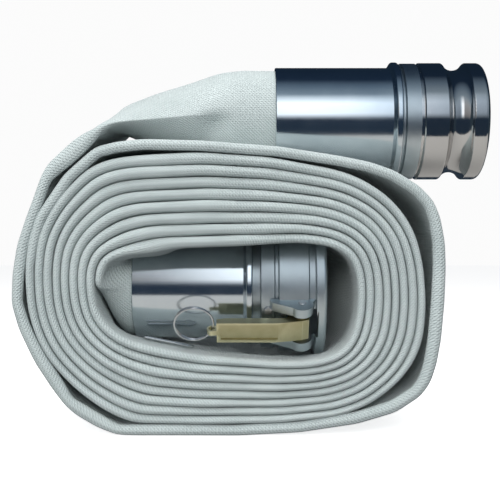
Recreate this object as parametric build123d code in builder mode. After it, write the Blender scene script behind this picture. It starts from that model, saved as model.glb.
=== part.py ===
from build123d import *
import os
from math import cos, radians, sin

os.makedirs("parts", exist_ok=True)

# A three inch lay-flat fire hose, rolled up and stood on its flat bottom.
# X runs along both couplings, Y is the width of the roll and Z is up.
# The origin is under the middle of the whole object, on the surface it stands on.

# ---------------------------------------------------------------- driving sizes
hose_width = 127.0          # lay-flat width of a three inch hose
hose_thickness = 7.0        # one turn of flattened hose at its folded edges
half_width = hose_width / 2
soft_gap = 0.3              # air between a metal piece and the hose that holds it

bore_radius = 33.5          # waterway through both couplings
shank_radius = 36.6         # hose shank, over its barbs
barb_depth = 1.2
barb_pitch = 14.0
fit_gap = 0.05              # play between the layers clamped under a ferrule
liner_wall = 1.1
jacket_wall = 1.9
liner_radius = shank_radius + fit_gap + liner_wall
jacket_radius = liner_radius + fit_gap + jacket_wall
ferrule_inner = jacket_radius + fit_gap
ferrule_radius = 42.0
bead_radius = 46.3          # rolled bead at the ferrule's coupling end
bead_length = 4.5

adapter_z = 237.4           # height of the outer coupling's axis
adapter_ferrule_start = 17.0
adapter_ferrule_end = 112.5
adapter_face = 177.5        # front face of the spigot
spigot_radius = 45.75       # three inch cam and groove spigot
groove_radius = 40.0
collar_radius = 45.4

coupler_z = 107.4           # height of the inner coupling's axis
coupler_ferrule_start = -91.5
coupler_ferrule_end = -0.5
coupler_mouth = 54.5
socket_radius = 46.2
coupler_body_radius = 52.0
coupler_rim_radius = 55.0
gasket_start = 8.0
gasket_end = 14.0
gasket_radius = 46.8

arm_angle = 31.0            # how far the arms sit round from level
pin_x = 36.0
pin_offset = 51.5           # pin axis from the coupling's axis
pin_radius = 3.0
pin_bore = 3.05
arm_half_width = 8.6
cam_half_width = 10.8
ear_inner = 11.4
ear_outer = 18.6
ring_wire = 0.95            # radius of the finger ring's wire
ring_radius = 14.5
ring_x = -30.6              # hole in the arm's end that the ring hangs in
ring_offset = 61.0
ring_hole = 2.35            # radius of that hole
tip_radius = 3.7
ring_lean = 25.0            # how far the ring hangs round from straight back

adapter_axis = Axis((0, 0, adapter_z), (1, 0, 0))
coupler_axis = Axis((0, 0, coupler_z), (1, 0, 0))
adapter_plane = Plane(origin=(0, 0, adapter_z), x_dir=(1, 0, 0), z_dir=(0, -1, 0))
coupler_plane = Plane(origin=(0, 0, coupler_z), x_dir=(1, 0, 0), z_dir=(0, -1, 0))


def finish(part, name):
    part.label = name
    export_step(part, "parts/" + name + ".step")
    print(name, "volume", round(part.volume))


# ---------------------------------------------------------------- hose: outer end
# The flat hose comes up round the left of the roll and opens into a round tube,
# which runs under the adapter's ferrule. One solid, with the shank's room bored out.
neck_start = (-119.5, 218.2)
neck_rise = 36.4
with BuildPart() as hose_outer_neck:
    flat_plane = Plane(origin=(neck_start[0], 0, neck_start[1]), x_dir=(0, 1, 0),
                       z_dir=(cos(radians(neck_rise)), 0, sin(radians(neck_rise))))
    with BuildSketch(flat_plane):
        Ellipse(half_width, hose_thickness / 2)
    for x, z, tilt, half_across, half_high in ((-100, 229, 22, 59, 14), (-76, 234.5, 12, 53, 24),
                                               (-46, 238, 4, 46.5, 32.5), (-16, 238.5, 0, 42, 37.5)):
        with BuildSketch(Plane(origin=(x, 0, z), x_dir=(0, 1, 0),
                               z_dir=(cos(radians(tilt)), 0, sin(radians(tilt))))):
            Ellipse(half_across, half_high)
    with BuildSketch(Plane(origin=(adapter_ferrule_start - 4, 0, adapter_z),
                           x_dir=(0, 1, 0), z_dir=(1, 0, 0))):
        Circle(jacket_radius)
    loft()
    with BuildSketch(Plane(origin=(adapter_ferrule_start - 4, 0, adapter_z),
                           x_dir=(0, 1, 0), z_dir=(1, 0, 0))):
        Circle(jacket_radius)
    extrude(amount=adapter_ferrule_end - adapter_ferrule_start - 4)
    with BuildSketch(Plane(origin=(adapter_ferrule_start, 0, adapter_z),
                           x_dir=(0, 1, 0), z_dir=(1, 0, 0))):
        Circle(liner_radius + fit_gap)
    extrude(amount=adapter_ferrule_end - adapter_ferrule_start, mode=Mode.SUBTRACT)
finish(hose_outer_neck.part, "hose_outer_neck")

# ---------------------------------------------------------------- hose: inner end
# At the middle of the roll the hose leaves the coupler's ferrule and folds upward.
inner_neck_left = -111.0
with BuildPart() as hose_inner_neck:
    with BuildSketch(Plane(origin=(inner_neck_left, 0, coupler_z), x_dir=(0, 1, 0),
                           z_dir=(1, 0, 0))):
        RectangleRounded(112, 50, 20)
    with BuildSketch(Plane(origin=(coupler_ferrule_start - 1, 0, coupler_z),
                           x_dir=(0, 1, 0), z_dir=(1, 0, 0))):
        Circle(jacket_radius)
    loft()
    with BuildSketch(Plane(origin=(coupler_ferrule_start - 1, 0, coupler_z),
                           x_dir=(0, 1, 0), z_dir=(1, 0, 0))):
        Circle(jacket_radius)
    extrude(amount=coupler_ferrule_end - coupler_ferrule_start - 4)
    with BuildSketch(Plane(origin=(coupler_ferrule_start, 0, coupler_z),
                           x_dir=(0, 1, 0), z_dir=(1, 0, 0))):
        Circle(liner_radius + fit_gap)
    extrude(amount=coupler_ferrule_end - coupler_ferrule_start, mode=Mode.SUBTRACT)
finish(hose_inner_neck.part, "hose_inner_neck")

# ---------------------------------------------------------------- hose: the roll
# Eight tight turns as one ring-shaped solid. The inner coupling sits in its core
# and the outer coupling's ferrule presses a saddle into its top.
roll_outline = [(-112, 206), (-80, 203.4), (-40, 207.4), (18, 203), (62, 196), (84, 190),
                (105, 170), (118, 148), (125, 122), (126, 96), (123, 68), (115, 46),
                (98, 30), (70, 17.5), (30, 10.5), (-10, 7.4), (-92, 7.4), (-112, 15),
                (-131, 30), (-148, 56), (-160, 84), (-165, 110), (-160, 146),
                (-148, 176), (-130, 197)]
core_outline = [(-111, 86), (-84, 68), (-46, 61), (-8, 54.5), (28, 50.5), (56, 52),
                (72, 66), (77, 92), (73, 116), (58, 132), (20, 137), (-60, 138),
                (-98, 133), (-111, 124)]
with BuildPart() as hose_roll:
    with BuildSketch(Plane.XZ):
        with BuildLine():
            FilletPolyline(*roll_outline, radius=4, close=True)
        make_face()
        with BuildLine():
            FilletPolyline(*core_outline, radius=4, close=True)
        make_face(mode=Mode.SUBTRACT)
    extrude(amount=half_width, both=True)
    # beyond the coupler's mouth the core closes in towards the back of the roll
    with BuildSketch(Plane.XY.offset(55)):
        with BuildLine():
            Polyline((60, half_width), (60, 30), (77, -25), (79, -25), (79, half_width),
                     close=True)
        make_face()
    extrude(amount=76)
    # room for the coupler and for its rear arm, which opens upward and outward
    with BuildSketch(Plane(origin=(coupler_ferrule_start - 8, 0, coupler_z), x_dir=(0, 1, 0),
                           z_dir=(1, 0, 0))):
        Circle(ferrule_radius + soft_gap)
    extrude(amount=100, mode=Mode.SUBTRACT)
    with BuildSketch(Plane(origin=(-7, 0, coupler_z), x_dir=(0, 1, 0), z_dir=(1, 0, 0))):
        Circle(coupler_rim_radius + soft_gap)
    extrude(amount=64, mode=Mode.SUBTRACT)
    with BuildSketch(Plane.YZ.offset(-66)):
        with Locations((half_width / 2 + 8, 140)):
            Rectangle(half_width, 50)
    extrude(amount=124, mode=Mode.SUBTRACT)
    # the saddle under the outer coupling
    with BuildSketch(Plane(origin=(adapter_ferrule_start - 10, 0, adapter_z),
                           x_dir=(0, 1, 0), z_dir=(1, 0, 0))):
        Circle(ferrule_radius + soft_gap)
    extrude(amount=110, mode=Mode.SUBTRACT)
    with BuildSketch(Plane(origin=(adapter_ferrule_end - 8, 0, adapter_z), x_dir=(0, 1, 0),
                           z_dir=(1, 0, 0))):
        Circle(bead_radius + soft_gap)
    extrude(amount=45, mode=Mode.SUBTRACT)
    add(hose_outer_neck.part, mode=Mode.SUBTRACT)
    add(hose_inner_neck.part, mode=Mode.SUBTRACT)
finish(hose_roll.part, "hose_roll")

# ---------------------------------------------------------------- hose: outer turn
# The last turn is loose. It stands off the roll at the right and lower left, and it
# has creases where the hose was folded, so its path is straight runs with small bends.
turn_path = [(-110, 211.4), (-80, 207.5), (-40, 211.6), (18, 207.2), (62, 200.4), (84, 196.2),
             (101, 190.6), (118, 180), (128, 170), (133, 158), (136, 140), (136.5, 122),
             (135.5, 98), (133.5, 72), (130.5, 54), (126, 40), (119.5, 31), (102, 20.4),
             (75, 12.4), (33, 6.2), (-12, 3.5), (-99, 3.5), (-115, 9.5), (-134, 23),
             (-157, 55.5), (-168, 79), (-174, 97), (-171.3, 134), (-167, 152),
             (-161, 169), (-150.5, 189), (-134, 207.5), (-119.5, 218.2)]
with BuildPart() as hose_outer_turn:
    with BuildLine() as turn_line:
        FilletPolyline(*[(x, 0, z) for x, z in turn_path], radius=5)
    with BuildSketch(Plane(origin=turn_line.line @ 0, x_dir=(0, 1, 0),
                           z_dir=turn_line.line % 0)):
        Rectangle(hose_width, hose_thickness)
    sweep(path=turn_line.line)
    with BuildSketch(Plane(origin=(adapter_ferrule_start - 10, 0, adapter_z),
                           x_dir=(0, 1, 0), z_dir=(1, 0, 0))):
        Circle(ferrule_radius + soft_gap)
    extrude(amount=110, mode=Mode.SUBTRACT)
    with BuildSketch(Plane(origin=(adapter_ferrule_end - 8, 0, adapter_z), x_dir=(0, 1, 0),
                           z_dir=(1, 0, 0))):
        Circle(bead_radius + soft_gap)
    extrude(amount=45, mode=Mode.SUBTRACT)
    add(hose_outer_neck.part, mode=Mode.SUBTRACT)
    add(hose_roll.part, mode=Mode.SUBTRACT)
finish(hose_outer_turn.part, "hose_outer_turn")

# ---------------------------------------------------------------- lining ends
# The rubber lining ends between the shank and the woven jacket, at both couplings.
for name, plane, start, end in (
        ("liner_end_outer", adapter_plane, adapter_ferrule_start, adapter_ferrule_end - 5),
        ("liner_end_inner", coupler_plane, coupler_ferrule_start, coupler_ferrule_end - 5)):
    with BuildPart() as liner_end:
        with BuildSketch(Plane(origin=plane.origin + Vector(start, 0, 0), x_dir=(0, 1, 0),
                               z_dir=(1, 0, 0))):
            Circle(liner_radius)
            Circle(shank_radius + fit_gap, mode=Mode.SUBTRACT)
        extrude(amount=end - start)
    finish(liner_end.part, name)

# ---------------------------------------------------------------- ferrules
# Each ferrule is a plain drawn sleeve with a rolled bead and a lip that hooks
# behind the coupling's collar.
for name, plane, start, end in (
        ("adapter_ferrule", adapter_plane, adapter_ferrule_start, adapter_ferrule_end),
        ("coupler_ferrule", coupler_plane, coupler_ferrule_start, coupler_ferrule_end)):
    with BuildPart() as ferrule:
        with BuildSketch(plane):
            with BuildLine():
                Polyline((start, ferrule_inner), (end - 4, ferrule_inner), (end - 4, 38.2),
                         (end, 38.2), (end, bead_radius), (end - bead_length, bead_radius),
                         (end - bead_length - 2.5, ferrule_radius), (start, ferrule_radius),
                         close=True)
            make_face()
        revolve(axis=Axis(plane.origin, (1, 0, 0)))
        rim = ferrule.edges().filter_by(GeomType.CIRCLE).sort_by(SortBy.RADIUS)[-2:]
        fillet(rim, 1.4)
        mouth = ferrule.edges().filter_by(GeomType.CIRCLE).filter_by_position(
            Axis.X, start - 0.01, start + 0.01)
        fillet(mouth, 0.8)
    finish(ferrule.part, name)


def barbs(start, end):
    """Points along the barbed shank, from its open end up to the collar."""
    points = [(start, shank_radius - barb_depth)]
    x = start
    while x + barb_pitch < end:
        points += [(x + barb_pitch - 2, shank_radius), (x + barb_pitch, shank_radius - barb_depth)]
        x += barb_pitch
    return points + [(end, shank_radius - barb_depth)]


# ---------------------------------------------------------------- adapter
# Male cam and groove adapter: barbed shank, collar, spigot with its round groove.
adapter_groove = (146.5, 165.5)
with BuildPart() as adapter_body:
    with BuildSketch(adapter_plane):
        with BuildLine():
            shank_points = barbs(adapter_ferrule_start + 3, adapter_ferrule_end - 4.5)
            Polyline(*shank_points, (adapter_ferrule_end - 4.5, 38.15),
                     (adapter_ferrule_end + fit_gap, 38.15),
                     (adapter_ferrule_end + fit_gap, 42.6),
                     (114.3, 42.6), (115.2, collar_radius), (126, collar_radius),
                     (126, 43.4), (128.5, 43.4), (128.5, spigot_radius),
                     (adapter_groove[0], spigot_radius))
            ThreePointArc((adapter_groove[0], spigot_radius),
                          (sum(adapter_groove) / 2, groove_radius),
                          (adapter_groove[1], spigot_radius))
            Polyline((adapter_groove[1], spigot_radius), (adapter_face, spigot_radius),
                     (adapter_face, bore_radius), (adapter_ferrule_start + 3, bore_radius),
                     shank_points[0])
        make_face()
    revolve(axis=adapter_axis)
    face_edges = adapter_body.edges().filter_by(GeomType.CIRCLE).filter_by_position(
        Axis.X, adapter_face - 0.01, adapter_face + 0.01)
    fillet(face_edges.sort_by(SortBy.RADIUS)[-1:], 3.5)
    groove_edges = adapter_body.edges().filter_by(GeomType.CIRCLE).filter_by_position(
        Axis.X, adapter_groove[0] - 0.01, adapter_groove[1] + 0.01)
    fillet(groove_edges.sort_by(SortBy.RADIUS)[-2:], 1.2)
    band_edges = adapter_body.edges().filter_by(GeomType.CIRCLE).filter_by_position(
        Axis.X, 128.4, 128.6)
    chamfer(band_edges.sort_by(SortBy.RADIUS)[-1:], 0.8)
finish(adapter_body.part, "adapter_body")


def lever_plane(side):
    """Plane through the coupler's axis: local x is +X, local y points out at one lever."""
    across = cos(radians(arm_angle)) * side
    rise = sin(radians(arm_angle)) * side
    return Plane(origin=(0, 0, coupler_z), x_dir=(1, 0, 0), z_dir=(0, -rise, across))


screw_radius = 3.2
screw_seat = 48.6
screw_plane = Plane(origin=(11, 0, coupler_z), x_dir=(1, 0, 0),
                    z_dir=(0, -cos(radians(20)), -sin(radians(20))))

# ---------------------------------------------------------------- coupler
# Female coupler: barbed shank, collar, socket, and two pairs of ears for the levers.
with BuildPart() as coupler_body:
    with BuildSketch(coupler_plane):
        with BuildLine():
            shank_points = barbs(coupler_ferrule_start + 3, coupler_ferrule_end - 4.5)
            Polyline(*shank_points, (coupler_ferrule_end - 4.5, 38.15),
                     (coupler_ferrule_end + fit_gap, 38.15),
                     (coupler_ferrule_end + fit_gap, 40.5), (5, 40.5), (6, 49), (15.5, 49.5),
                     (16.5, 48.2), (18.5, 48.2), (19.5, coupler_body_radius),
                     (41, coupler_body_radius), (42, 50.5), (46, 50.5),
                     (47, coupler_rim_radius), (coupler_mouth, coupler_rim_radius),
                     (coupler_mouth, socket_radius), (gasket_end + 0.3, socket_radius),
                     (gasket_end + 0.3, gasket_radius + 0.3), (gasket_start, gasket_radius + 0.3),
                     (gasket_start, bore_radius), (coupler_ferrule_start + 3, bore_radius),
                     shank_points[0])
        make_face()
    revolve(axis=coupler_axis)
    mouth_edges = coupler_body.edges().filter_by(GeomType.CIRCLE).filter_by_position(
        Axis.X, coupler_mouth - 0.01, coupler_mouth + 0.01)
    fillet(mouth_edges.sort_by(SortBy.RADIUS)[-1:], 2.5)
    chamfer(mouth_edges.sort_by(SortBy.RADIUS)[:1], 1.5)
    for side in (-1, 1):
        ear_width = ear_outer - ear_inner
        for ear_side in (-1, 1):
            ear_plane = lever_plane(side).offset(ear_side * (ear_inner + ear_width / 2))
            with BuildSketch(ear_plane):
                with BuildLine():
                    Polyline((12, 47), (14, 52), (29, 58.6))
                    RadiusArc((29, 58.6), (43.5, 51.5), 8.2)
                    Polyline((43.5, 51.5), (46.5, 47), (12, 47))
                make_face()
            extrude(amount=ear_width / 2, both=True)
        # window through the wall that the cam turns in
        with BuildSketch(lever_plane(side)):
            with Locations(((24.4 + 48.4) / 2, 50)):
                Rectangle(24, 20)
        extrude(amount=ear_inner, both=True, mode=Mode.SUBTRACT)
        with BuildSketch(lever_plane(side)):
            with Locations((pin_x, pin_offset)):
                Circle(pin_bore)
        extrude(amount=ear_outer + 1, both=True, mode=Mode.SUBTRACT)
    with BuildSketch(screw_plane.offset(screw_seat)):
        Circle(screw_radius + fit_gap)
    extrude(amount=3, mode=Mode.SUBTRACT)
finish(coupler_body.part, "coupler_body")

# small round-headed screw let into the collar
with BuildPart() as collar_screw:
    with BuildSketch(screw_plane.offset(screw_seat)):
        Circle(screw_radius)
    extrude(amount=2.6)
    crown = collar_screw.faces().sort_by(Axis((0, 0, coupler_z), screw_plane.z_dir))[-1]
    fillet(crown.edges(), 1.1)
    with BuildSketch(screw_plane.offset(screw_seat + 1.9)):
        Rectangle(0.9, 8)
    extrude(amount=2, mode=Mode.SUBTRACT)
finish(collar_screw.part, "collar_screw")

# ---------------------------------------------------------------- gasket
with BuildPart() as coupler_gasket:
    with BuildSketch(coupler_plane):
        with BuildLine():
            Polyline((gasket_start + 0.1, 35.5), (gasket_end, 35.5), (gasket_end, gasket_radius),
                     (gasket_start + 0.1, gasket_radius), close=True)
        make_face()
    revolve(axis=coupler_axis)
    fillet(coupler_gasket.edges().filter_by(GeomType.CIRCLE), 0.8)
finish(coupler_gasket.part, "coupler_gasket")

# ---------------------------------------------------------------- cam levers
# Cast brass lever: a cam head between the ears, a flat handle with raised rims along
# both edges, and a narrow drilled tip for the ring. Pins and rings go with it.
for name, side in (("front", -1), ("rear", 1)):
    with BuildPart() as cam_arm:
        with BuildSketch(lever_plane(side)):
            with BuildLine():
                Polyline((41.1, 59), (41.1, 46.6), (37.5, 42.6), (32.5, 42.2), (28.4, 45.6),
                         (26.6, 51.5), (24.6, 56.6), (18, 57.2), (-20, 57.4), (-27, 58.6),
                         (-27, 64), (16, 64), (27, 62.6), (36, 61), (41.1, 59))
            make_face()
        extrude(amount=arm_half_width, both=True)
        tip_edges = cam_arm.edges().filter_by(Axis((0, 0, 0), lever_plane(side).z_dir))
        fillet(tip_edges.filter_by_position(Axis.X, 28, 42).sort_by(Axis.X)[-6:], 1.2)
        # recess between the two rims of the handle
        with BuildSketch(lever_plane(side)):
            with Locations((-3, 64)):
                Rectangle(42, 2.4)
        extrude(amount=arm_half_width - 2.6, both=True, mode=Mode.SUBTRACT)
        # narrow tip with its cross hole
        with BuildSketch(lever_plane(side)):
            with BuildLine():
                Polyline((-26, 57.6), (ring_x, ring_offset - tip_radius))
                ThreePointArc((ring_x, ring_offset - tip_radius),
                              (ring_x - tip_radius, ring_offset),
                              (ring_x, ring_offset + tip_radius))
                Polyline((ring_x, ring_offset + tip_radius), (-26, 64), (-26, 57.6))
            make_face()
        extrude(amount=2, both=True)
        with BuildSketch(lever_plane(side)):
            with Locations((ring_x, ring_offset)):
                Circle(ring_hole)
        extrude(amount=arm_half_width, both=True, mode=Mode.SUBTRACT)
        # bosses that keep the cam head midway between the ears, drilled for the pin
        with BuildSketch(lever_plane(side)):
            with Locations((pin_x, pin_offset)):
                Circle(4.9)
        extrude(amount=cam_half_width, both=True)
        with BuildSketch(lever_plane(side)):
            with Locations((pin_x, pin_offset)):
                Circle(pin_bore)
        extrude(amount=cam_half_width + 1, both=True, mode=Mode.SUBTRACT)
    finish(cam_arm.part, "cam_arm_" + name)

    with BuildPart() as arm_pin:
        with BuildSketch(lever_plane(side)):
            with Locations((pin_x, pin_offset)):
                Circle(pin_radius)
        extrude(amount=ear_outer + 0.6, both=True)
        chamfer(arm_pin.edges().filter_by(GeomType.CIRCLE), 0.5)
    finish(arm_pin.part, "arm_pin_" + name)

    ring_frame = lever_plane(side)
    hole = ring_frame.from_local_coords((ring_x, ring_offset, 0))
    hole = Vector(hole.X, hole.Y, hole.Z)
    to_hole = (Vector(1, 0, 0) * cos(radians(ring_lean))
               + ring_frame.z_dir * sin(radians(ring_lean)))
    ring_middle = hole - to_hole * ring_radius
    with BuildPart() as finger_ring:
        with BuildSketch(Plane(origin=ring_middle, x_dir=to_hole,
                               z_dir=to_hole.cross(ring_frame.y_dir))):
            with Locations((ring_radius, 0)):
                Circle(ring_wire)
        revolve(axis=Axis(ring_middle, ring_frame.y_dir))
    finish(finger_ring.part, "finger_ring_" + name)

# ---------------------------------------------------------------- safety clip
# A bent wire hairpin lying on the hose in the core of the roll.
clip_wire = 0.9
with BuildPart() as safety_clip:
    clip_plane = Plane(origin=(-62.5, -33.5, 65.6), x_dir=(38, 0, -7.6), z_dir=(0.196, 0, 0.98))
    with BuildLine(clip_plane) as clip_line:
        FilletPolyline((-19, 2.2), (8, 2.2), (13, 4.2), (18.6, 0), (13, -4.2), (8, -2.2),
                       (-20, -2.2), radius=2.0)
    with BuildSketch(Plane(origin=clip_line.line @ 0, z_dir=clip_line.line % 0)):
        Circle(clip_wire)
    sweep(path=clip_line.line)
finish(safety_clip.part, "safety_clip")
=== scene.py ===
from math import pi, radians

import bpy
import numpy as np
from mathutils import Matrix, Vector


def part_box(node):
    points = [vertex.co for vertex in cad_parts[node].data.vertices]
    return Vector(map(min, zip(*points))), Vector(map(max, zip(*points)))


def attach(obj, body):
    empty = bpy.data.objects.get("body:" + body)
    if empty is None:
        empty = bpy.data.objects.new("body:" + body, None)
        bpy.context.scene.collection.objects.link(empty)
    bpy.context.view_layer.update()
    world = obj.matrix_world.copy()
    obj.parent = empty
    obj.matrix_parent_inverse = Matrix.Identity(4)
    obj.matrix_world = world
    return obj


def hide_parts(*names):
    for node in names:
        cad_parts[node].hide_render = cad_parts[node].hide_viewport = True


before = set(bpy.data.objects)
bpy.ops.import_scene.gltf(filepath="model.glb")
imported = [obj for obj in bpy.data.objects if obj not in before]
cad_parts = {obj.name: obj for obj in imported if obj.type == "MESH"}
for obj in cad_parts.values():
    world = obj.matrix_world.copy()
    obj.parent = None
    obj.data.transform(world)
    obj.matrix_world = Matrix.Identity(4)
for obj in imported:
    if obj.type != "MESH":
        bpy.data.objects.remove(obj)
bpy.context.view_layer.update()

mm = 0.001

# ---------------------------------------------------------------- camera and studio
# A pale table top, one soft window light high in front and a wide soft light overhead.
# The camera stands level with the middle of the roll and looks straight across it.
scene = bpy.context.scene
scene.view_settings.view_transform = "Standard"
camera_data = bpy.data.cameras.new("camera")
camera_data.sensor_width = 36
camera_data.lens = 63.3
camera_data.clip_start = 0.05
camera = bpy.data.objects.new("camera", camera_data)
camera.location = (-0.0025, -0.700, 0.1354)
camera.rotation_euler = (pi / 2, 0, 0)
scene.collection.objects.link(camera)
scene.camera = camera


def studio_surface(name, colour, roughness, glow=0.0):
    """A plain matt finish for the table top."""
    material = bpy.data.materials.new(name)
    material.use_nodes = True
    shader = material.node_tree.nodes["Principled BSDF"]
    shader.inputs["Base Color"].default_value = (*colour, 1)
    shader.inputs["Roughness"].default_value = roughness
    shader.inputs["Emission Color"].default_value = (1, 1, 1, 1)
    shader.inputs["Emission Strength"].default_value = glow
    return material


def maths(tree, operation, first, second=None, third=None):
    """A Math node; each input is a socket or a number."""
    node = tree.nodes.new("ShaderNodeMath")
    node.operation = operation
    for socket, value in zip(node.inputs, (first, second, third)):
        if value is None:
            continue
        if hasattr(value, "links"):
            tree.links.new(value, socket)
        else:
            socket.default_value = value
    return node.outputs[0]


bpy.ops.object.select_all(action="DESELECT")
bpy.ops.mesh.primitive_plane_add(size=14, location=(0, 0, 0))
table = bpy.context.object
table.name = "table_top"
table.data.materials.append(studio_surface("pale_table", (0.90, 0.90, 0.90), 0.9, 0.72))
table.visible_glossy = False
table.visible_diffuse = False

# the strip of table beside the object, as the polished metal sees it
bpy.ops.mesh.primitive_plane_add(size=1, location=(0, 0, 0.0004))
bounce = bpy.context.object
bounce.name = "table_near_object"
bounce.scale = (1.5, 0.68, 1)
bounce.data.materials.append(studio_surface("pale_card", (0.50, 0.49, 0.47), 0.8))
bounce.visible_camera = False
bounce.visible_diffuse = False
bounce.visible_shadow = False

# what the polished metal sees of the room: a dark room, one window high in front with soft
# edges, and a ceiling that gets darker overhead; a drum round the set, open at its ends
bpy.ops.mesh.primitive_cylinder_add(vertices=96, radius=1.6, depth=5, end_fill_type="NOTHING",
                                    location=(0, 0, 0), rotation=(0, pi / 2, 0))
bpy.ops.object.transform_apply(location=False, rotation=True, scale=True)
room_wall = bpy.context.object
room_wall.name = "room_wall"
room_paint = bpy.data.materials.new("room_paint")
room_paint.use_nodes = True
paint = room_paint.node_tree
paint.nodes.clear()
paint_out = paint.nodes.new("ShaderNodeOutputMaterial")
glow = paint.nodes.new("ShaderNodeEmission")
spot = paint.nodes.new("ShaderNodeSeparateXYZ")
paint.links.new(paint.nodes.new("ShaderNodeTexCoord").outputs["Object"], spot.inputs[0])
front = maths(paint, "MULTIPLY", spot.outputs[1], -1)
height_angle = maths(paint, "ARCTAN2", spot.outputs[2], front)
around_room = paint.nodes.new("ShaderNodeMapRange")
around_room.inputs["From Min"].default_value = -pi
around_room.inputs["From Max"].default_value = pi
paint.links.new(height_angle, around_room.inputs["Value"])


def shade_ramp(tree, source, stops):
    """A colour ramp from (position, grey level or colour) pairs."""
    ramp = tree.nodes.new("ShaderNodeValToRGB")
    while len(ramp.color_ramp.elements) < len(stops):
        ramp.color_ramp.elements.new(0.5)
    for element, (position, colour) in zip(ramp.color_ramp.elements, stops):
        element.position = position
        element.color = (*colour, 1)
    tree.links.new(source, ramp.inputs[0])
    return ramp.outputs[0]


def degrees_round(angle):
    return (angle + 180) / 360


ceiling = shade_ramp(paint, around_room.outputs[0],
                     [(degrees_round(-90), (0.03, 0.045, 0.065)),
                      (degrees_round(6), (0.02, 0.035, 0.06)),
                      (degrees_round(12), (0.10, 0.13, 0.16)),
                      (degrees_round(50), (0.30, 0.38, 0.45)),
                      (degrees_round(74), (0.12, 0.17, 0.23)),
                      (degrees_round(90), (0.012, 0.025, 0.05)),
                      (degrees_round(150), (0.01, 0.02, 0.035))])
window_high = shade_ramp(paint, around_room.outputs[0],
                         [(degrees_round(7), (0, 0, 0)), (degrees_round(17), (1, 1, 1)),
                          (degrees_round(38), (1, 1, 1)), (degrees_round(56), (0, 0, 0))])
across_room = paint.nodes.new("ShaderNodeMapRange")
across_room.inputs["From Min"].default_value = -1
across_room.inputs["From Max"].default_value = 1
paint.links.new(spot.outputs[0], across_room.inputs["Value"])
window_wide = shade_ramp(paint, across_room.outputs[0],
                         [(0.38, (0.12, 0.09, 0.07)), (0.50, (1, 1, 1)), (0.60, (1, 1, 1)),
                          (0.70, (0.35, 0.40, 0.46)), (0.80, (0.08, 0.09, 0.11))])
window_shape = paint.nodes.new("ShaderNodeMix")
window_shape.data_type = "RGBA"
window_shape.blend_type = "MULTIPLY"
window_shape.inputs[0].default_value = 1
paint.links.new(window_high, window_shape.inputs[6])
paint.links.new(window_wide, window_shape.inputs[7])
window_sum = paint.nodes.new("ShaderNodeVectorMath")
window_sum.operation = "MULTIPLY_ADD"
window_sum.inputs[1].default_value = (1.5, 1.55, 1.6)
paint.links.new(window_shape.outputs[2], window_sum.inputs[0])
paint.links.new(ceiling, window_sum.inputs[2])
paint.links.new(window_sum.outputs[0], glow.inputs["Color"])
paint.links.new(glow.outputs[0], paint_out.inputs["Surface"])
room_wall.data.materials.append(room_paint)
room_wall.visible_camera = False
room_wall.visible_diffuse = False
room_wall.visible_shadow = False
room_wall.visible_transmission = False
room_wall.visible_volume_scatter = False

world = bpy.data.worlds.new("studio")
scene.world = world
world.use_nodes = True
sky = world.node_tree
sky.nodes.clear()
sky_out = sky.nodes.new("ShaderNodeOutputWorld")
sky_mix = sky.nodes.new("ShaderNodeMixShader")
ray = sky.nodes.new("ShaderNodeLightPath")
pale = sky.nodes.new("ShaderNodeBackground")
pale.inputs["Color"].default_value = (0.95, 0.97, 1.0, 1)
pale.inputs["Strength"].default_value = 0.27
room = sky.nodes.new("ShaderNodeBackground")
room.inputs["Color"].default_value = (0.035, 0.055, 0.075, 1)
room.inputs["Strength"].default_value = 1.0
sky.links.new(ray.outputs["Is Glossy Ray"], sky_mix.inputs[0])
sky.links.new(pale.outputs[0], sky_mix.inputs[1])
sky.links.new(room.outputs[0], sky_mix.inputs[2])
backdrop = sky.nodes.new("ShaderNodeBackground")
backdrop.inputs["Color"].default_value = (1, 1, 1, 1)
backdrop.inputs["Strength"].default_value = 0.97
camera_mix = sky.nodes.new("ShaderNodeMixShader")
sky.links.new(ray.outputs["Is Camera Ray"], camera_mix.inputs[0])
sky.links.new(sky_mix.outputs[0], camera_mix.inputs[1])
sky.links.new(backdrop.outputs[0], camera_mix.inputs[2])
sky.links.new(camera_mix.outputs[0], sky_out.inputs["Surface"])


def soft_light(name, place, target, width, height, watts):
    """A rectangular soft light aimed at a point of the object; polished metal doesn't show it."""
    lamp = bpy.data.lights.new(name, "AREA")
    lamp.shape = "RECTANGLE"
    lamp.size, lamp.size_y = width, height
    lamp.energy = watts
    lamp_object = bpy.data.objects.new(name, lamp)
    lamp_object.location = place
    aim = Vector(target) - Vector(place)
    lamp_object.rotation_euler = aim.to_track_quat("-Z", "Y").to_euler()
    lamp_object.visible_glossy = False
    scene.collection.objects.link(lamp_object)


middle = (0, 0, 0.14)
soft_light("window", (0.15, -1.55, 0.80), (0, 0, 0.2), 1.5, 0.62, 15)
soft_light("overhead", (-0.1, -0.25, 1.5), middle, 1.4, 1.2, 20)
soft_light("left_fill", (-1.1, -1.3, 0.45), middle, 0.9, 0.7, 9)


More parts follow.
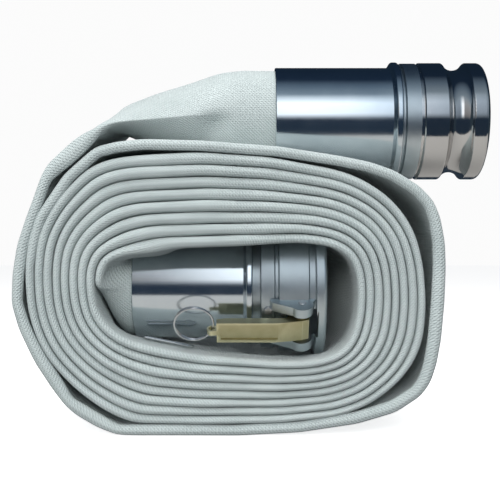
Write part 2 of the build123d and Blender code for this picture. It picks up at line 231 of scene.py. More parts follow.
# ---------------------------------------------------------------- hose
# One length of three inch lay-flat hose: a white woven polyester tube with a thin lining.
# It leaves the coupler in the core, winds nine times round it, and opens into the adapter.
# The turns are flat, with a rounded fold along each edge, and press on each other.
hose_half = 63.5            # half of the lay-flat width, in mm like all of this section
wall = 2.1                  # one wall of the hose
round_radius = 39.55        # the hose where it is round, under a ferrule
tight_turns = 8             # turns between the core and the loose last turn
station_step = 5.0          # distance between cross-sections along the hose
roll_middle = (-17.0, 100.0)
adapter_axis_z = 237.4
coupler_axis_z = 107.4
ferrule_room = 42.7         # room that the inner ferrule needs, measured from its axis
coupler_room = 55.7         # room that the coupler and its ears need
lever_room = 57             # height above the axis that the rear lever swings through
core_line = [(-115, 100), (-116, 116), (-111, 129), (-98, 134), (-70, 136), (-38, 137),
             (0, 138.5), (33, 140.5), (57, 138), (70, 131), (75.5, 117), (76, 99), (74, 82),
             (69, 67), (59, 58.5), (40, 54.5), (15, 54.5), (-10, 56.5), (-38, 58.6),
             (-64, 63.8), (-83, 67.6), (-95, 71.8), (-105, 79), (-112, 88)]
tight_line = [(-165.4, 99), (-166, 121), (-161.5, 147), (-151.5, 165), (-141, 178),
              (-131.5, 186.5), (-122.5, 195), (-108, 201.5), (-94, 203.9), (-80, 205),
              (-38, 206.9), (12, 203.5), (62, 193.8), (78, 188), (97, 176),
              (110, 162), (119, 146), (124.2, 124), (126, 97), (124, 72), (117.5, 54),
              (105, 38), (85, 22.5), (62, 14.2), (20, 9.5), (-38, 8.2), (-88, 9),
              (-106, 17), (-125, 30), (-137, 41), (-149, 54.5), (-157, 68), (-163, 85)]
# the last turn: x, z, half thickness at its folds, and how far its far edge is raised
loose_line = [(-161.6, 134, 3.7, 0), (-160.2, 142, 3.7, 0), (-155.6, 157.7, 3.9, 0),
              (-146.6, 171, 4, 0), (-135, 188, 4, 0), (-113.6, 206.9, 4, 0),
              (-99.4, 210.4, 4, 0), (-80.6, 212.4, 4, 0), (-38, 211.4, 3.9, 0),
              (18, 207.2, 3.8, 0), (62, 200.4, 3.8, 0), (84, 196, 3.8, 0), (101, 190, 3.9, 0),
              (118, 179.4, 4.0, 0), (127.6, 169.2, 4.2, 0), (132, 158, 4.4, 0),
              (135, 140, 4.6, 0), (135.3, 122, 4.8, 0), (134.2, 98, 5, 0), (132, 72, 5, 0),
              (129, 54, 4.8, 0), (125, 41, 4.6, 0), (118.7, 32, 4.4, 0), (101.6, 21.2, 4.6, 0),
              (75, 13.2, 4.5, 0), (33, 6.6, 4, 0), (-12, 4.2, 3.9, 0), (-84, 4.2, 4.0, 0),
              (-99, 4.3, 3.6, 0), (-112, 10.6, 4.8, 0), (-127, 19.6, 4.9, 0),
              (-134.5, 25, 3.9, 0), (-143, 38, 5, 0), (-155, 56, 4.8, 0), (-159, 63.5, 4.5, 0),
              (-166.5, 79, 4.4, 0), (-172.4, 97, 3.8, 0), (-171.3, 118, 4.2, 0),
              (-168.3, 138, 4.1, 0), (-162, 158, 3.9, 0), (-157.4, 170, 3.9, 0),
              (-151.4, 187, 3.9, 2), (-146, 194, 5.6, 2), (-136, 202.5, 6.2, 4),
              (-126, 211.5, 6.2, 7), (-117, 218.6, 4.6, 9)]
# the neck's sections: x, z of the folds, half width, height above and below the folds,
# how pinched the folds are, and how far the far edge is raised
neck_line = [(-117, 218.6, 63.3, 4.2, 4.2, 1.0, 9), (-108, 226.2, 61.5, 9, 5.5, 1.3, 10),
             (-97, 229.2, 58.5, 16.5, 9, 1.6, 8), (-76, 231.6, 53, 25, 18, 1.75, 3),
             (-46, 235.4, 46.8, 32.0, 27, 1.75, 0), (-33, 236.6, 44.4, 35.6, 31.5, 1.6, 0),
             (-22, 237.6, 42.4, 38.2, 36.0, 1.15, 0), (-8, 237.6, 40.2, 39.8, 39.0, 1.0, 0),
             (8, 237.5, round_radius, round_radius, round_radius, 1.0, 0),
             (18, adapter_axis_z, round_radius, round_radius, round_radius, 1.0, 0),
             (32, adapter_axis_z, round_radius, round_radius, round_radius, 1.0, 0)]


def soften(values, width, closed=False, axis=0):
    """Smooths an array with a bell-shaped weight whose half width is in samples."""
    reach = int(3 * width) + 1
    weights = np.exp(-0.5 * (np.arange(-reach, reach + 1) / width) ** 2)
    weights /= weights.sum()
    pads = [(0, 0)] * values.ndim
    pads[axis] = (reach, reach)
    padded_values = np.pad(values, pads, mode="wrap" if closed else "edge")
    return np.apply_along_axis(lambda v: np.convolve(v, weights, mode="valid"), axis, padded_values)


def walk(points, step, closed=False):
    """Points at an even distance along straight runs."""
    corners = np.array(points, float)
    if closed:
        corners = np.vstack([corners, corners[:1]])
    runs = np.linalg.norm(np.diff(corners[:, :2], axis=0), axis=1)
    along = np.concatenate([[0], np.cumsum(runs)])
    count = int(along[-1] / step) + 1
    places = np.linspace(0, along[-1], count, endpoint=not closed)
    return np.stack([np.interp(places, along, corners[:, k]) for k in range(corners.shape[1])], 1)


def wave(along, period, phase):
    return np.sin(2 * pi * along / period + phase)


turn_angles = np.linspace(0, 2 * pi, 720, endpoint=False)
depths = np.linspace(-66, 66, 45)


def reach_of(line):
    """The distance from the roll's middle to a closed line, for each angle of the turn.
    Angles start at the left and go up and over, the way that the hose is wound."""
    dense = soften(walk(line, 1.0, True), 5, True)
    across, up = dense[:, 0] - roll_middle[0], dense[:, 1] - roll_middle[1]
    angle = np.arctan2(up, -across) % (2 * pi)
    order = np.argsort(angle)
    return np.interp(turn_angles, angle[order], np.hypot(across, up)[order], period=2 * pi)


def place_at(reach):
    """X and Z of points on the grid of turn angles and depths."""
    x = roll_middle[0] - reach * np.cos(turn_angles)[:, None]
    z = roll_middle[1] + reach * np.sin(turn_angles)[:, None]
    return x, z


def in_coupling(x, y, z):
    """True where the inner coupling, or the rear lever's path, needs the room."""
    room = np.interp(x, [-114, -113, -104, -11, -5, 56.5, 57.6, 58],
                     [0, 20, ferrule_room, ferrule_room, coupler_room, coupler_room, 18, 0])
    held = y ** 2 + (z - coupler_axis_z) ** 2 < room ** 2
    lever = (1 - np.clip((-66 - x) / 48, 0, 1) ** 2) * np.interp(x, [57, 63], [1, 0])
    back = np.clip((y - 12) / 30, 0, 1)
    rise = lever_room * back * back * (3 - 2 * back) * lever
    lifted = (z > coupler_axis_z) & (z < coupler_axis_z + rise)
    return held | lifted


neck_sections = np.array(neck_line)


def under_neck(x, y, z):
    """True where the neck or the outer coupling presses down on the roll."""
    a = np.interp(x, np.append(neck_sections[:, 0], [104, 108, 113, 180]),
                  np.append(neck_sections[:, 2], [42.3, 46.7, 46.2, 46.2])) + 0.4
    b = np.interp(x, np.append(neck_sections[:, 0], [104, 108, 113, 180]),
                  np.append(neck_sections[:, 4], [42.3, 46.7, 46.2, 46.2])) + 0.4
    a, b = np.where(x > 14, np.maximum(a, 42.6), a), np.where(x > 14, np.maximum(b, 42.6), b)
    zc = np.interp(x, neck_sections[:, 0], neck_sections[:, 1])
    return (x > -112) & ((y / a) ** 2 + ((z - zc) / b) ** 2 < 1)


def cleared(reach, step, times):
    """Moves the core outward in small steps until the inner coupling has its room."""
    for _ in range(times):
        x, z = place_at(reach)
        reach = reach + step * in_coupling(x, depth_grid, z)
    return reach


core_reach = np.repeat(reach_of(core_line)[:, None], len(depths), 1)
tight_reach = np.repeat(reach_of(tight_line)[:, None], len(depths), 1)
depth_grid = np.repeat(depths[None], len(turn_angles), 0)
# beyond the coupler's mouth the core closes in towards the back of the roll, and its floor
# rises there
back_wall = np.interp(depths, [-66, -30, 26, 66], [90, 77, 58.8, 58.8]) - roll_middle[0]
core_reach = np.minimum(core_reach, back_wall / np.maximum(-np.cos(turn_angles), 0.2)[:, None])
back_floor = roll_middle[1] - np.interp(depths, [-66, 0, 40, 66], [40, 50, 62, 62])
core_reach = np.minimum(core_reach, back_floor / np.maximum(-np.sin(turn_angles), 0.2)[:, None])
core_reach = cleared(core_reach, 0.5, 150)
core_reach = soften(soften(core_reach, 3, True), 1.2, axis=1)
core_reach = cleared(core_reach, 0.25, 20)
core_reach = soften(soften(core_reach, 1.5, True), 0.7, axis=1)
press_reach = core_reach + 20
for _ in range(300):
    x, z = place_at(press_reach)
    press_reach = press_reach + 0.5 * ~under_neck(x, depth_grid, z)
tight_reach = np.minimum(tight_reach, (tight_turns * (press_reach - 0.5) + core_reach)
                         / (tight_turns + 1))
tight_reach = soften(soften(tight_reach, 3, True), 1.2, axis=1)

# The turns share the room between core and outside evenly, measured square to the core.
x, z = place_at(core_reach)
out_x = np.gradient(np.vstack([z[-1:], z, z[:1]]), axis=0)[1:-1]
out_z = -np.gradient(np.vstack([x[-1:], x, x[:1]]), axis=0)[1:-1]
size = np.hypot(out_x, out_z)
out_x = soften(-out_x / size, 14, True) - 0.4 * np.cos(turn_angles)[:, None]
out_z = soften(-out_z / size, 14, True) + 0.4 * np.sin(turn_angles)[:, None]
size = np.hypot(out_x, out_z)
out_x, out_z = out_x / size, out_z / size
near, far = np.zeros_like(x), np.full_like(x, 160.0)
for _ in range(26):
    half_way = (near + far) / 2
    px, pz = x + out_x * half_way - roll_middle[0], z + out_z * half_way - roll_middle[1]
    row = (np.arctan2(pz, -px) % (2 * pi)) / (2 * pi) * len(turn_angles)
    r0 = np.floor(row).astype(int) % len(turn_angles)
    columns = np.arange(len(depths))[None]
    edge = tight_reach[r0, columns] * (1 - row % 1) + tight_reach[(r0 + 1) % len(turn_angles),
                                                                 columns] * (row % 1)
    inside_roll = np.hypot(px, pz) < edge
    near, far = np.where(inside_roll, half_way, near), np.where(inside_roll, far, half_way)
layer_reach = []
for k in range(tight_turns + 1):
    px = x + out_x * near * k / tight_turns - roll_middle[0]
    pz = z + out_z * near * k / tight_turns - roll_middle[1]
    angle, reach = np.arctan2(pz, -px) % (2 * pi), np.hypot(px, pz)
    even = np.empty_like(reach)
    for j in range(len(depths)):
        order = np.argsort(angle[:, j])
        even[:, j] = np.interp(turn_angles, angle[order, j], reach[order, j], period=2 * pi)
    layer_reach.append(soften(even, 2, True))
layer_reach = np.array(layer_reach)


def grid_value(level, angle, depth):
    """The reach at a number of layers from the core, read between the grid's samples."""
    level, angle, depth = np.broadcast_arrays(level, angle, depth)
    row = (angle % (2 * pi)) / (2 * pi) * len(turn_angles)
    column = np.clip((depth - depths[0]) / (depths[1] - depths[0]), 0, len(depths) - 1.001)
    l0 = np.clip(np.floor(level).astype(int), 0, tight_turns - 1)
    r0, c0 = np.floor(row).astype(int), np.floor(column).astype(int)
    fl, fr, fc = level - l0, row - r0, column - c0
    r0, r1 = r0 % len(turn_angles), (r0 + 1) % len(turn_angles)
    total = 0
    for lk, wl in ((l0, 1 - fl), (l0 + 1, fl)):
        for rk, wr in ((r0, 1 - fr), (r1, fr)):
            for ck, wc in ((c0, 1 - fc), (c0 + 1, fc)):
                total = total + layer_reach[lk, rk, ck] * wl * wr * wc
    return total


# The flat cross-section: how far across (-1 near fold, 1 far fold) and how far out (-1 to 1)
# each point is. It starts at the near fold and goes over the outer face to the far fold.
fold_points = 5
face_points = 13
fold_depth = 4.2 / hose_half
fold_turn = np.linspace(0, pi / 2, fold_points + 1)
fold_across = -1 + fold_depth * (1 - np.cos(fold_turn))
fold_out = np.sin(fold_turn)
face_across = np.linspace(-1 + fold_depth, 1 - fold_depth, face_points + 2)[1:-1]
flat_across = np.concatenate([fold_across, face_across, -fold_across[::-1]])
flat_out = np.concatenate([fold_out, np.ones(face_points), fold_out[::-1]])
flat_across = np.concatenate([flat_across, flat_across[-2:0:-1]])
flat_out = np.concatenate([flat_out, -flat_out[-2:0:-1]])
ring_count = len(flat_across)
ring_length = np.concatenate([[0], np.cumsum(np.hypot(np.diff(flat_across) * hose_half,
                                                     np.diff(flat_out) * 3))])
ring_total = ring_length[-1] + np.hypot((flat_across[0] - flat_across[-1]) * hose_half,
                                        (flat_out[0] - flat_out[-1]) * 3)
ring_share = ring_length / ring_total


def oval(a, b, pinch, lower=None):
    """An oval section with its points at the same shares of its length as the flat one's."""
    turn = np.linspace(pi, -pi, 721)
    across = a * np.cos(turn)
    height = np.where(turn < 0, b if lower is None else lower, b)
    out = height * np.sign(np.sin(turn)) * np.abs(np.sin(turn)) ** pinch
    length = np.concatenate([[0], np.cumsum(np.hypot(np.diff(across), np.diff(out)))])
    share = length / length[-1]
    return np.interp(ring_share, share, across), np.interp(ring_share, share, out)


def tight_section(u):
    """Places of the section's points in the tight part of the roll, u turns from the start.
    At the start the inner face reaches further round in the middle, over the coupling."""
    late = 0.075 * (1 - flat_across ** 2) * (1 - flat_out) / 2 * max(0, 1 - (u - 0.022) / 0.12)
    angle = 2 * pi * ((u + late) % 1)
    ramp = np.clip((u % 1) / 0.13, 0, 1)
    layers_out = np.floor(u) - 0.5 + ramp * ramp * (3 - 2 * ramp)
    shift = fold_recess(u)
    y = np.where(flat_across < 0, flat_across * (hose_half - shift),
                 flat_across * (hose_half - 0.6 - 0.5 * wave(u, 0.31, 2)))
    fill = 0.482 - 0.045 * np.clip(np.abs(flat_across) * 4 - 3, 0, 1) * (1 + wave(u, 0.173, 1)) / 2
    reach = grid_value(layers_out + fill * flat_out, angle, y)
    return np.stack([roll_middle[0] - reach * np.cos(angle), y,
                     roll_middle[1] + reach * np.sin(angle)], 1)


def fold_recess(u):
    """How far the near fold stands back from the front of the roll, turn by turn."""
    turn_recess = [0.6, 0.3, 1.2, 0.4, 1.6, 2.6, 0.7, 0.9, 0.3, 0.0, 0.0]
    return (np.interp(u, np.arange(len(turn_recess)), turn_recess)
            + 0.45 * wave(u, 0.37, 0.4) + 0.3 * wave(u, 0.117, 1.9))


def even_turns(first, last):
    """Values of u from first to last that lie an even distance apart along the hose."""
    fine = np.linspace(first, last, 4000)
    angle = 2 * pi * (fine % 1)
    reach = grid_value(fine, angle, -hose_half)
    x, z = roll_middle[0] - reach * np.cos(angle), roll_middle[1] + reach * np.sin(angle)
    along = np.concatenate([[0], np.cumsum(np.hypot(np.diff(x), np.diff(z)))])
    count = int(along[-1] / station_step)
    return np.interp(np.linspace(0, along[-1], count), along, fine)


start_turn, leave_turn = 0.022, 8.028
sections = [tight_section(u) for u in even_turns(start_turn, leave_turn)]

# the loose turn follows its own line: flat between its creases, thick at its folds
loose_path = soften(walk(loose_line, 1.0), 2.6)
loose_ahead = np.gradient(loose_path[:, :2], axis=0)
loose_ahead /= np.linalg.norm(loose_ahead, axis=1)[:, None]
loose_out = np.stack([-loose_ahead[:, 1], loose_ahead[:, 0]], 1)
for k in range(5, len(loose_path), int(station_step - 1)):
    x0, z0, fold_half, lift = loose_path[k]
    fold = np.clip(np.abs(flat_across) * 7 - 5.6, 0, 1)
    half = 2.4 + (fold_half - 2.4) * fold * fold * (3 - 2 * fold)
    y = flat_across * (hose_half - 0.25 * (1 + wave(k, 310, 0.5)))
    settled = np.clip((k - 260) / 100, 0, 1)
    bow = 1.3 * (1 - flat_across ** 2) * wave(k, 190, 1.0) * settled
    x = x0 + loose_out[k, 0] * (half * flat_out + bow)
    z = z0 + loose_out[k, 1] * (half * flat_out + bow) + lift * (flat_across + 1) / 2
    if z0 > 150:
        for _ in range(80):
            pressed = under_neck(x, y, z + (1 - flat_out) * half * abs(loose_out[k, 1]))
            z = z - 0.5 * pressed
    sections.append(np.stack([x, y, np.maximum(z, 0.05)], 1))

# the neck opens from flat to round and ends under the adapter's ferrule
neck_path = soften(walk(neck_line, 1.0), 3)
neck_path[-14:] = walk(neck_line, 1.0)[-14:]
neck_ahead = np.gradient(neck_path[:, :2], axis=0)
neck_ahead /= np.linalg.norm(neck_ahead, axis=1)[:, None]


def neck_section(k, thinner=0.0):
    """One section of the neck; thinner makes the inside of the wall."""
    x0, z0, a, above, below, pinch, lift = neck_path[k]
    across, out = oval(a - thinner, above - thinner, pinch, below - thinner)
    flat_y = flat_across * (hose_half - thinner)
    flat_n = flat_out * (3.6 - min(thinner, 2.0))
    opened = np.clip(k / 26, 0, 1)
    opened = opened * opened * (3 - 2 * opened)
    y = flat_y * (1 - opened) + across * opened
    n = flat_n * (1 - opened) + out * opened
    # the fold ends in a dimple on both sides, just before the hose is round
    dent = 9 * np.exp(-((x0 + 29) / 9) ** 2 - ((n + 7) / 8) ** 2) * (np.abs(y) > 12)
    y = y - np.sign(y) * dent
    ahead_x, ahead_z = neck_ahead[k]
    raised = lift * (flat_across + 1) / 2
    return np.stack([x0 - ahead_z * n, y, z0 + ahead_x * n + raised], 1)


neck_steps = list(range(3, len(neck_path) - 1, 4)) + [len(neck_path) - 1]
sections += [neck_section(k) for k in neck_steps]
lined = [k for k in reversed(neck_steps) if k > 45]
inside = [neck_section(k, 1.75 if k > len(neck_path) - 17 else wall + 0.5) for k in lined]

# the inner end: round under the coupler's ferrule, then folded upward into the first turn
first = sections[0]
ahead = sections[1] - sections[0]
ahead = ahead / np.linalg.norm(ahead, axis=1)[:, None]
round_y, round_n = oval(round_radius, round_radius, 1.0)
mouth_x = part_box("coupler_ferrule")[0][0] / mm
ferrule_ring = np.stack([np.full(ring_count, mouth_x - 1.0), round_y, coupler_axis_z - round_n], 1)
heel = []
for t in np.linspace(0, 1, 16)[1:-1]:
    pull = (26 + 22 * round_n / round_radius)[:, None]
    rise = (34 + 6 * round_n / round_radius)[:, None]
    h00, h10 = 2 * t ** 3 - 3 * t ** 2 + 1, t ** 3 - 2 * t ** 2 + t
    h01, h11 = -2 * t ** 3 + 3 * t ** 2, t ** 3 - t ** 2
    heel.append(h00 * ferrule_ring + h10 * pull * np.array([[-1.0, 0, 0]])
                + h01 * first + h11 * rise * ahead)
under_ferrule = [ferrule_ring + [dx, 0, 0] for dx in (14, 7)]
shrink = (round_radius - 1.7) / round_radius
inner_lining = [np.stack([r[:, 0], r[:, 1] * shrink, coupler_axis_z
                          + (r[:, 2] - coupler_axis_z) * shrink], 1)
                for r in (ferrule_ring + [-1, 0, 0], ferrule_ring + [7, 0, 0], ferrule_ring + [14, 0, 0])]
sections = inner_lining + under_ferrule + [ferrule_ring] + heel + sections + inside

rings = np.array(sections)
middles = rings.mean(axis=1)
along = np.concatenate([[0], np.cumsum(np.linalg.norm(np.diff(middles, axis=0), axis=1))])
hose_length = along[-1] - along[len(inner_lining)]
hose_length -= sum(np.linalg.norm(np.diff(middles[-len(inside):], axis=0), axis=1))
count = len(rings)
verts = np.concatenate([rings.reshape(-1, 3), middles[:1], middles[-1:]]) * mm
index = np.arange(count * ring_count).reshape(count, ring_count)
a, b = index[:-1], index[1:]
quads = np.stack([a, np.roll(a, -1, 1), np.roll(b, -1, 1), b], -1).reshape(-1, 4)
start_cap = [(int(p), int(q), count * ring_count) for p, q in zip(np.roll(index[0], -1), index[0])]
end_cap = [(int(p), int(q), count * ring_count + 1) for p, q in zip(index[-1], np.roll(index[-1], -1))]
mesh = bpy.data.meshes.new("hose_jacket")
mesh.from_pydata(verts.tolist(), [], quads.tolist() + start_cap + end_cap)
uv = mesh.uv_layers.new(name="weave")
share = np.append(ring_share, 1.0) * 0.254
corner_u = np.stack([along[:-1], along[:-1], along[1:], along[1:]], -1) * mm
corner_u = np.repeat(corner_u[:, None], ring_count, 1).reshape(-1)
corner_v = np.stack([share[:-1], share[1:], share[1:], share[:-1]], -1)
corner_v = np.tile(corner_v.reshape(-1), count - 1)
coords = np.zeros((len(mesh.loops), 2))
coords[:len(corner_u), 0], coords[:len(corner_v), 1] = corner_u, corner_v
uv.data.foreach_set("uv", coords.reshape(-1).astype(np.float32))
mesh.validate()
hose = bpy.data.objects.new("hose_jacket", mesh)
scene.collection.objects.link(hose)
bpy.ops.object.select_all(action="DESELECT")
hose.select_set(True)
bpy.context.view_layer.objects.active = hose
bpy.ops.object.mode_set(mode="EDIT")
bpy.ops.mesh.select_all(action="SELECT")
bpy.ops.mesh.normals_make_consistent(inside=False)
bpy.ops.object.mode_set(mode="OBJECT")
bpy.ops.object.shade_smooth()
print("hose length", round(hose_length), "rings", count)


def new_material(name, colour, metallic, roughness):
    material = bpy.data.materials.new(name)
    material.use_nodes = True
    shader = material.node_tree.nodes["Principled BSDF"]
    shader.inputs["Base Color"].default_value = (*colour, 1)
    shader.inputs["Metallic"].default_value = metallic
    shader.inputs["Roughness"].default_value = roughness
    return material, material.node_tree, shader


def noise(tree, vector, scale, detail=3.0, roughness=0.55):
    node = tree.nodes.new("ShaderNodeTexNoise")
    node.inputs["Scale"].default_value = scale
    node.inputs["Detail"].default_value = detail
    node.inputs["Roughness"].default_value = roughness
    tree.links.new(vector, node.inputs["Vector"])
    return node.outputs["Fac"]


def blend_colours(tree, factor, first, second):
    """A colour between two, by a factor from 0 to 1."""
    node = tree.nodes.new("ShaderNodeMix")
    node.data_type = "RGBA"
    tree.links.new(factor, node.inputs[0])
    node.inputs[6].default_value = (*first, 1)
    node.inputs[7].default_value = (*second, 1)
    return node.outputs[2]


def raise_surface(tree, shader, height, distance, strength=1.0):
    node = tree.nodes.new("ShaderNodeBump")
    node.inputs["Distance"].default_value = distance
    node.inputs["Strength"].default_value = strength
    tree.links.new(height, node.inputs["Height"])
    tree.links.new(node.outputs[0], shader.inputs["Normal"])


def woven_jacket():
    """White polyester in a twill: fine yarns across, with slanting ribs over them. Its colour carries
    painted shade in the grooves of the weave and random patches of tone.
    """
    material, tree, shader = new_material("woven_jacket", (0.6, 0.65, 0.64), 0.0, 0.78)
    shader.inputs["Sheen Weight"].default_value = 0.25
    shader.inputs["Sheen Roughness"].default_value = 0.5
    weave = tree.nodes.new("ShaderNodeUVMap")
    weave.uv_map = "weave"
    split = tree.nodes.new("ShaderNodeSeparateXYZ")
    tree.links.new(weave.outputs[0], split.inputs[0])
    length, around = split.outputs[0], split.outputs[1]
    rib = 2 * pi / 0.0026
    slant = maths(tree, "SINE", maths(tree, "MULTIPLY", maths(tree, "ADD", length, around), rib))
    yarn = maths(tree, "SINE", maths(tree, "MULTIPLY", length, 2 * pi / 0.0013))
    warp = maths(tree, "SINE", maths(tree, "MULTIPLY", around, 2 * pi / 0.0017))
    height = maths(tree, "MULTIPLY_ADD", slant, 0.5,
                   maths(tree, "MULTIPLY_ADD", yarn, 0.28, maths(tree, "MULTIPLY", warp, 0.22)))
    place = tree.nodes.new("ShaderNodeTexCoord").outputs["Object"]
    patches = noise(tree, place, 38.0, 4.0)
    grain = noise(tree, place, 900.0, 2.0)
    height = maths(tree, "MULTIPLY_ADD", grain, 0.9, height)
    # painted shade: the colour darkens where the weave's height is low, in the grooves between ribs and
    # yarns; the patches and grain add random tone
    groove_shade_and_patches = maths(tree, "MULTIPLY_ADD", height, 0.30, 0.36)
    groove_shade_and_patches = maths(tree, "ADD", groove_shade_and_patches, maths(tree, "MULTIPLY_ADD", patches, 0.5, -0.25))
    factor = maths(tree, "MINIMUM", maths(tree, "MAXIMUM", groove_shade_and_patches, 0.0), 1.0)
    tree.links.new(blend_colours(tree, factor, (0.33, 0.395, 0.395), (0.66, 0.73, 0.725)),
                   shader.inputs["Base Color"])
    raise_surface(tree, shader, height, 0.00045, 0.9)
    return material


hose.data.materials.append(woven_jacket())
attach(hose, "hose_and_couplings")
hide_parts("hose_roll", "hose_outer_turn", "hose_outer_neck", "hose_inner_neck")


def finish_node(name, material):
    """Gives a carried-over metal or rubber piece its real finish."""
    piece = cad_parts[name]
    piece.data.materials.clear()
    piece.data.materials.append(material)


# ---------------------------------------------------------------- ferrules
# Drawn steel sleeves with bright zinc plating. Drawing leaves faint streaks along them.
def zinc_plate():
    material, tree, shader = new_material("zinc_plate", (0.66, 0.71, 0.75), 1.0, 0.17)
    place = tree.nodes.new("ShaderNodeTexCoord").outputs["Object"]
    stretch = tree.nodes.new("ShaderNodeMapping")
    stretch.inputs["Scale"].default_value = (4, 260, 260)
    tree.links.new(place, stretch.inputs["Vector"])
    streaks = noise(tree, stretch.outputs[0], 1.0, 4.0)
    cloud = noise(tree, place, 45.0, 3.0)
    rough = maths(tree, "MULTIPLY_ADD", streaks, 0.16, maths(tree, "MULTIPLY_ADD", cloud, 0.12, 0.02))
    tree.links.new(rough, shader.inputs["Roughness"])
    tree.links.new(blend_colours(tree, cloud, (0.55, 0.61, 0.66), (0.74, 0.78, 0.80)),
                   shader.inputs["Base Color"])
    raise_surface(tree, shader, streaks, 0.00004, 0.5)
    return material


zinc = zinc_plate()
finish_node("adapter_ferrule", zinc)
finish_node("coupler_ferrule", zinc)


# ---------------------------------------------------------------- adapter
# Cast stainless steel, turned and polished on the spigot; the collar is left satin.
def turned_stainless():
    material, tree, shader = new_material("turned_stainless", (0.62, 0.61, 0.60), 1.0, 0.1)
    place = tree.nodes.new("ShaderNodeTexCoord").outputs["Object"]
    split = tree.nodes.new("ShaderNodeSeparateXYZ")
    tree.links.new(place, split.inputs[0])
    rings_cut = maths(tree, "SINE", maths(tree, "MULTIPLY", split.outputs[0], 2 * pi / 0.0007))
    spots = noise(tree, place, 160.0, 4.0)
    collar_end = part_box("adapter_ferrule")[1][0] + 0.0137
    satin = maths(tree, "LESS_THAN", split.outputs[0], collar_end)
    rough = maths(tree, "MULTIPLY_ADD", satin, 0.26, maths(tree, "MULTIPLY_ADD", spots, 0.10, 0.05))
    tree.links.new(rough, shader.inputs["Roughness"])
    tree.links.new(blend_colours(tree, satin, (0.60, 0.59, 0.58), (0.60, 0.65, 0.67)),
                   shader.inputs["Base Color"])
    raise_surface(tree, shader, maths(tree, "MULTIPLY_ADD", rings_cut, 0.3, spots), 0.00003, 0.4)
    return material


finish_node("adapter_body", turned_stainless())


# ---------------------------------------------------------------- coupler
# Sand cast aluminium, satin, with a fine grain. Its screw and pins are stainless.
def cast_aluminium():
    material, tree, shader = new_material("cast_aluminium", (0.55, 0.60, 0.62), 1.0, 0.38)
    place = tree.nodes.new("ShaderNodeTexCoord").outputs["Object"]
    grain = noise(tree, place, 700.0, 3.0)
    cloud = noise(tree, place, 60.0, 4.0)
    tree.links.new(maths(tree, "MULTIPLY_ADD", cloud, 0.22, 0.30), shader.inputs["Roughness"])
    tree.links.new(blend_colours(tree, cloud, (0.47, 0.53, 0.55), (0.66, 0.71, 0.73)),
                   shader.inputs["Base Color"])
    raise_surface(tree, shader, grain, 0.0001, 0.6)
    return material


def bright_steel(name, roughness):
    material, tree, shader = new_material(name, (0.66, 0.66, 0.66), 1.0, roughness)
    place = tree.nodes.new("ShaderNodeTexCoord").outputs["Object"]
    spots = noise(tree, place, 420.0, 3.0)
    tree.links.new(maths(tree, "MULTIPLY_ADD", spots, 0.2, roughness - 0.06),
                   shader.inputs["Roughness"])
    tree.links.new(blend_colours(tree, spots, (0.52, 0.53, 0.54), (0.78, 0.78, 0.78)),
                   shader.inputs["Base Color"])
    return material


def black_rubber():
    material, tree, shader = new_material("black_rubber", (0.03, 0.03, 0.032), 0.0, 0.6)
    place = tree.nodes.new("ShaderNodeTexCoord").outputs["Object"]
    grain = noise(tree, place, 500.0, 3.0)
    tree.links.new(blend_colours(tree, grain, (0.018, 0.018, 0.02), (0.05, 0.05, 0.052)),
                   shader.inputs["Base Color"])
    raise_surface(tree, shader, grain, 0.00008, 0.5)
    return material


finish_node("coupler_body", cast_aluminium())
pin_steel = bright_steel("pin_steel", 0.28)
for name in ("collar_screw", "arm_pin_front", "arm_pin_rear"):
    finish_node(name, pin_steel)
rubber = black_rubber()
for name in ("coupler_gasket", "liner_end_outer", "liner_end_inner"):
    finish_node(name, rubber)


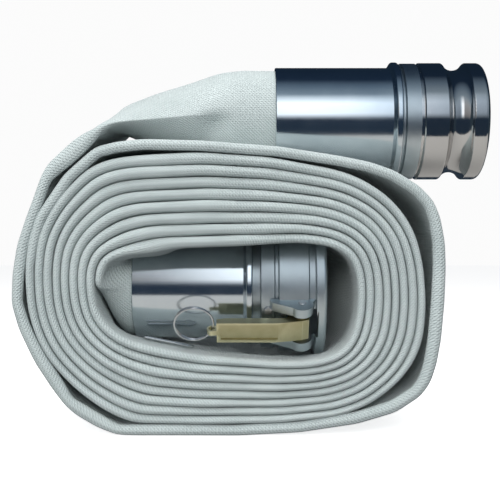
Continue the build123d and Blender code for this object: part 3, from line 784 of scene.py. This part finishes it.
# ---------------------------------------------------------------- levers
# Cast brass cam levers, dull and greenish gold, with a painted highlight along their raised rims.
def cast_brass():
    material, tree, shader = new_material("cast_brass", (0.42, 0.38, 0.2), 1.0, 0.42)
    place = tree.nodes.new("ShaderNodeTexCoord").outputs["Object"]
    grain = noise(tree, place, 800.0, 3.0)
    cloud = noise(tree, place, 120.0, 4.0)
    # painted highlight: the colour turns pale gold where the surface is sharply convex, along the rims;
    # the cloud adds random tone
    rim_highlight_pointiness = tree.nodes.new("ShaderNodeNewGeometry").outputs["Pointiness"]
    edge = maths(tree, "MULTIPLY", maths(tree, "MAXIMUM", maths(tree, "SUBTRACT", rim_highlight_pointiness, 0.52), 0.0), 9.0)
    factor = maths(tree, "MINIMUM", maths(tree, "MULTIPLY_ADD", cloud, 0.5, edge), 1.0)
    tree.links.new(blend_colours(tree, factor, (0.42, 0.37, 0.20), (0.85, 0.78, 0.52)),
                   shader.inputs["Base Color"])
    tree.links.new(maths(tree, "MULTIPLY_ADD", cloud, 0.2, 0.3), shader.inputs["Roughness"])
    raise_surface(tree, shader, grain, 0.00012, 0.7)
    return material


brass = cast_brass()
finish_node("cam_arm_front", brass)
finish_node("cam_arm_rear", brass)

# ---------------------------------------------------------------- finger rings
# Split rings of spring steel: two turns of thin wire that lie side by side, the second
# a little askew. Each one hangs through the hole in its lever's tip.
ring_steel = bright_steel("ring_steel", 0.16)
for end, tilt in (("front", 121), ("rear", -59)):
    low, high = (Vector(corner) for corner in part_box("finger_ring_" + end))
    turns = []
    for shift, askew in ((-0.0007, 0), (0.0007, 4)):
        bpy.ops.mesh.primitive_torus_add(major_radius=0.0145 - abs(shift) * 0.3, minor_radius=0.0008,
                                         major_segments=96, minor_segments=12,
                                         location=(0, 0, shift), rotation=(0, radians(askew), 0))
        turns.append(bpy.context.object)
    bpy.ops.object.select_all(action="DESELECT")
    for turn in turns:
        turn.select_set(True)
    bpy.context.view_layer.objects.active = turns[0]
    bpy.ops.object.join()
    split_ring = bpy.context.object
    bpy.ops.object.transform_apply(location=True, rotation=True, scale=True)
    split_ring.rotation_euler = (radians(tilt), 0, 0)
    split_ring.location = (low + high) / 2
    bpy.ops.object.transform_apply(location=True, rotation=True, scale=True)
    bpy.ops.object.shade_smooth()
    split_ring.name = "split_ring_" + end
    split_ring.data.materials.append(ring_steel)
    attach(split_ring, end + "_ring")
    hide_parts("finger_ring_" + end)

# ---------------------------------------------------------------- safety clip
# A hairpin of bright spring wire, loose on the hose in the core of the roll.
finish_node("safety_clip", bright_steel("clip_steel", 0.2))
